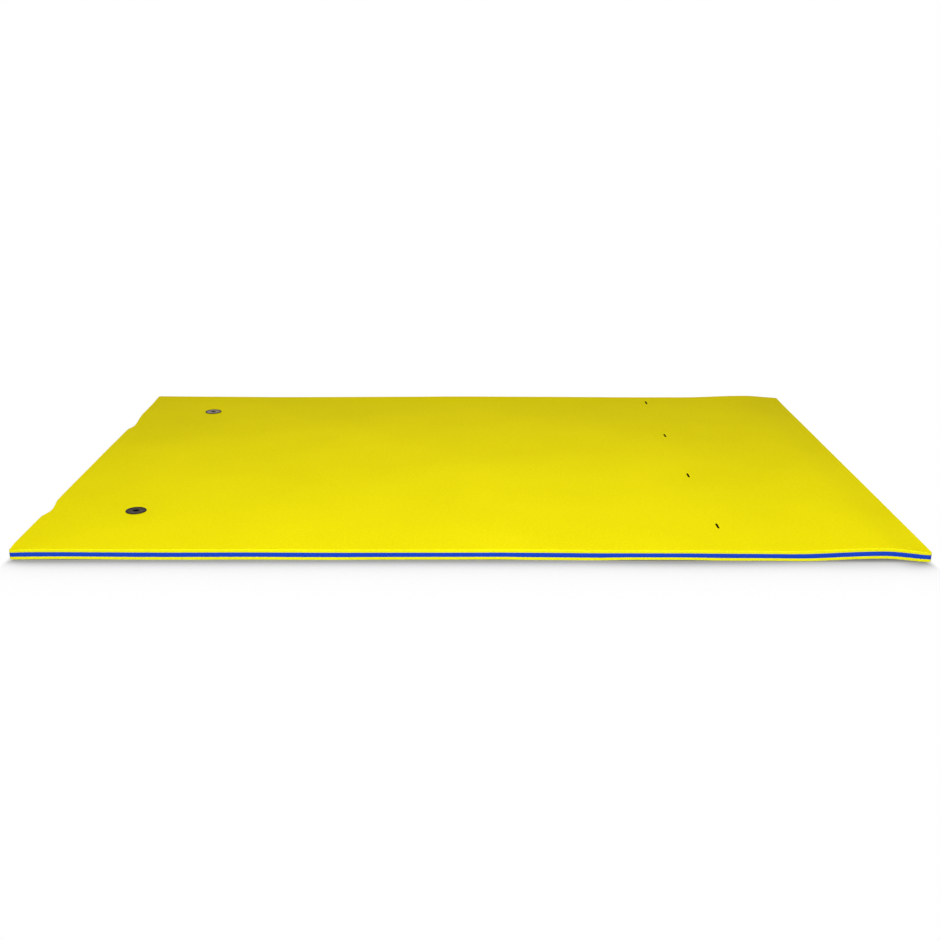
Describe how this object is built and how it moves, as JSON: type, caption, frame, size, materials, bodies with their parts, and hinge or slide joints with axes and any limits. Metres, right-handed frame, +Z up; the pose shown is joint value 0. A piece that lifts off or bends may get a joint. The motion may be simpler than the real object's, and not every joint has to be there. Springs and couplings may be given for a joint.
{
  "type": "foam floating mat",
  "caption": "Flat floating mat of three laminated foam sheets, with tether grommets at one end and an end that rolls up into a pillow.",
  "frame": {"origin": "middle of the mat's footprint, on its underside, where it rests on the floor", "axes": "+X along the mat towards the pillow end, -Y towards the long edge that faces the picture's viewer, +Z up"},
  "size_m": [2.743, 1.829, 0.0351],
  "materials": {
    "foam_yellow": "closed-cell polyethylene foam, matt, fine skin with a faint mottle",
    "foam_blue": "closed-cell polyethylene foam, matt, cut edge",
    "grommet_plastic": "moulded dark grey plastic, satin"
  },
  "bodies": {
    "main_mat": {"main_top_sheet": "foam_yellow", "main_core_sheet": "foam_blue", "main_bottom_sheet": "foam_yellow", "near_grommet_eyelet": "grommet_plastic", "near_grommet_washer": "grommet_plastic", "far_grommet_eyelet": "grommet_plastic", "far_grommet_washer": "grommet_plastic"},
    "pillow_strip_01": {"pillow_01_top_sheet": "foam_yellow", "pillow_01_core_sheet": "foam_blue", "pillow_01_bottom_sheet": "foam_yellow"},
    "pillow_strip_02": {"pillow_02_top_sheet": "foam_yellow", "pillow_02_core_sheet": "foam_blue", "pillow_02_bottom_sheet": "foam_yellow"},
    "pillow_strip_03": {"pillow_03_top_sheet": "foam_yellow", "pillow_03_core_sheet": "foam_blue", "pillow_03_bottom_sheet": "foam_yellow"},
    "pillow_strip_04": {"pillow_04_top_sheet": "foam_yellow", "pillow_04_core_sheet": "foam_blue", "pillow_04_bottom_sheet": "foam_yellow"},
    "pillow_strip_05": {"pillow_05_top_sheet": "foam_yellow", "pillow_05_core_sheet": "foam_blue", "pillow_05_bottom_sheet": "foam_yellow"},
    "pillow_strip_06": {"pillow_06_top_sheet": "foam_yellow", "pillow_06_core_sheet": "foam_blue", "pillow_06_bottom_sheet": "foam_yellow"},
    "pillow_strip_07": {"pillow_07_top_sheet": "foam_yellow", "pillow_07_core_sheet": "foam_blue", "pillow_07_bottom_sheet": "foam_yellow"},
    "pillow_strip_08": {"pillow_08_top_sheet": "foam_yellow", "pillow_08_core_sheet": "foam_blue", "pillow_08_bottom_sheet": "foam_yellow"},
    "pillow_strip_09": {"pillow_09_top_sheet": "foam_yellow", "pillow_09_core_sheet": "foam_blue", "pillow_09_bottom_sheet": "foam_yellow"},
    "pillow_strip_10": {"pillow_10_top_sheet": "foam_yellow", "pillow_10_core_sheet": "foam_blue", "pillow_10_bottom_sheet": "foam_yellow"},
    "pillow_strip_11": {"pillow_11_top_sheet": "foam_yellow", "pillow_11_core_sheet": "foam_blue", "pillow_11_bottom_sheet": "foam_yellow"},
    "pillow_strip_12": {"pillow_12_top_sheet": "foam_yellow", "pillow_12_core_sheet": "foam_blue", "pillow_12_bottom_sheet": "foam_yellow"}
  },
  "joints": [
    {"name": "pillow_fold_01", "type": "hinge", "parent": "main_mat", "child": "pillow_strip_01", "pos_m": [0.8715, 0, 0.033], "axis": [0, -1, 0], "range_deg": [0, 45]},
    {"name": "pillow_fold_02", "type": "hinge", "parent": "pillow_strip_01", "child": "pillow_strip_02", "pos_m": [0.93424, 0, 0.033], "axis": [0, -1, 0], "range_deg": [0, 45]},
    {"name": "pillow_fold_03", "type": "hinge", "parent": "pillow_strip_02", "child": "pillow_strip_03", "pos_m": [0.99315, 0, 0.033], "axis": [0, -1, 0], "range_deg": [0, 45]},
    {"name": "pillow_fold_04", "type": "hinge", "parent": "pillow_strip_03", "child": "pillow_strip_04", "pos_m": [1.04822, 0, 0.033], "axis": [0, -1, 0], "range_deg": [0, 45]},
    {"name": "pillow_fold_05", "type": "hinge", "parent": "pillow_strip_04", "child": "pillow_strip_05", "pos_m": [1.09947, 0, 0.033], "axis": [0, -1, 0], "range_deg": [0, 45]},
    {"name": "pillow_fold_06", "type": "hinge", "parent": "pillow_strip_05", "child": "pillow_strip_06", "pos_m": [1.14688, 0, 0.033], "axis": [0, -1, 0], "range_deg": [0, 45]},
    {"name": "pillow_fold_07", "type": "hinge", "parent": "pillow_strip_06", "child": "pillow_strip_07", "pos_m": [1.19047, 0, 0.033], "axis": [0, -1, 0], "range_deg": [0, 45]},
    {"name": "pillow_fold_08", "type": "hinge", "parent": "pillow_strip_07", "child": "pillow_strip_08", "pos_m": [1.23022, 0, 0.033], "axis": [0, -1, 0], "range_deg": [0, 45]},
    {"name": "pillow_fold_09", "type": "hinge", "parent": "pillow_strip_08", "child": "pillow_strip_09", "pos_m": [1.26614, 0, 0.033], "axis": [0, -1, 0], "range_deg": [0, 45]},
    {"name": "pillow_fold_10", "type": "hinge", "parent": "pillow_strip_09", "child": "pillow_strip_10", "pos_m": [1.29822, 0, 0.033], "axis": [0, -1, 0], "range_deg": [0, 45]},
    {"name": "pillow_fold_11", "type": "hinge", "parent": "pillow_strip_10", "child": "pillow_strip_11", "pos_m": [1.32648, 0, 0.033], "axis": [0, -1, 0], "range_deg": [0, 45]},
    {"name": "pillow_fold_12", "type": "hinge", "parent": "pillow_strip_11", "child": "pillow_strip_12", "pos_m": [1.35091, 0, 0.033], "axis": [0, -1, 0], "range_deg": [0, 45]}
  ],
  "couplings": [
    {"joint": "pillow_fold_02", "follows": "pillow_fold_01", "ratio": 1},
    {"joint": "pillow_fold_03", "follows": "pillow_fold_01", "ratio": 1},
    {"joint": "pillow_fold_04", "follows": "pillow_fold_01", "ratio": 1},
    {"joint": "pillow_fold_05", "follows": "pillow_fold_01", "ratio": 1},
    {"joint": "pillow_fold_06", "follows": "pillow_fold_01", "ratio": 1},
    {"joint": "pillow_fold_07", "follows": "pillow_fold_01", "ratio": 1},
    {"joint": "pillow_fold_08", "follows": "pillow_fold_01", "ratio": 1},
    {"joint": "pillow_fold_09", "follows": "pillow_fold_01", "ratio": 1},
    {"joint": "pillow_fold_10", "follows": "pillow_fold_01", "ratio": 1},
    {"joint": "pillow_fold_11", "follows": "pillow_fold_01", "ratio": 1},
    {"joint": "pillow_fold_12", "follows": "pillow_fold_01", "ratio": 1}
  ]
}
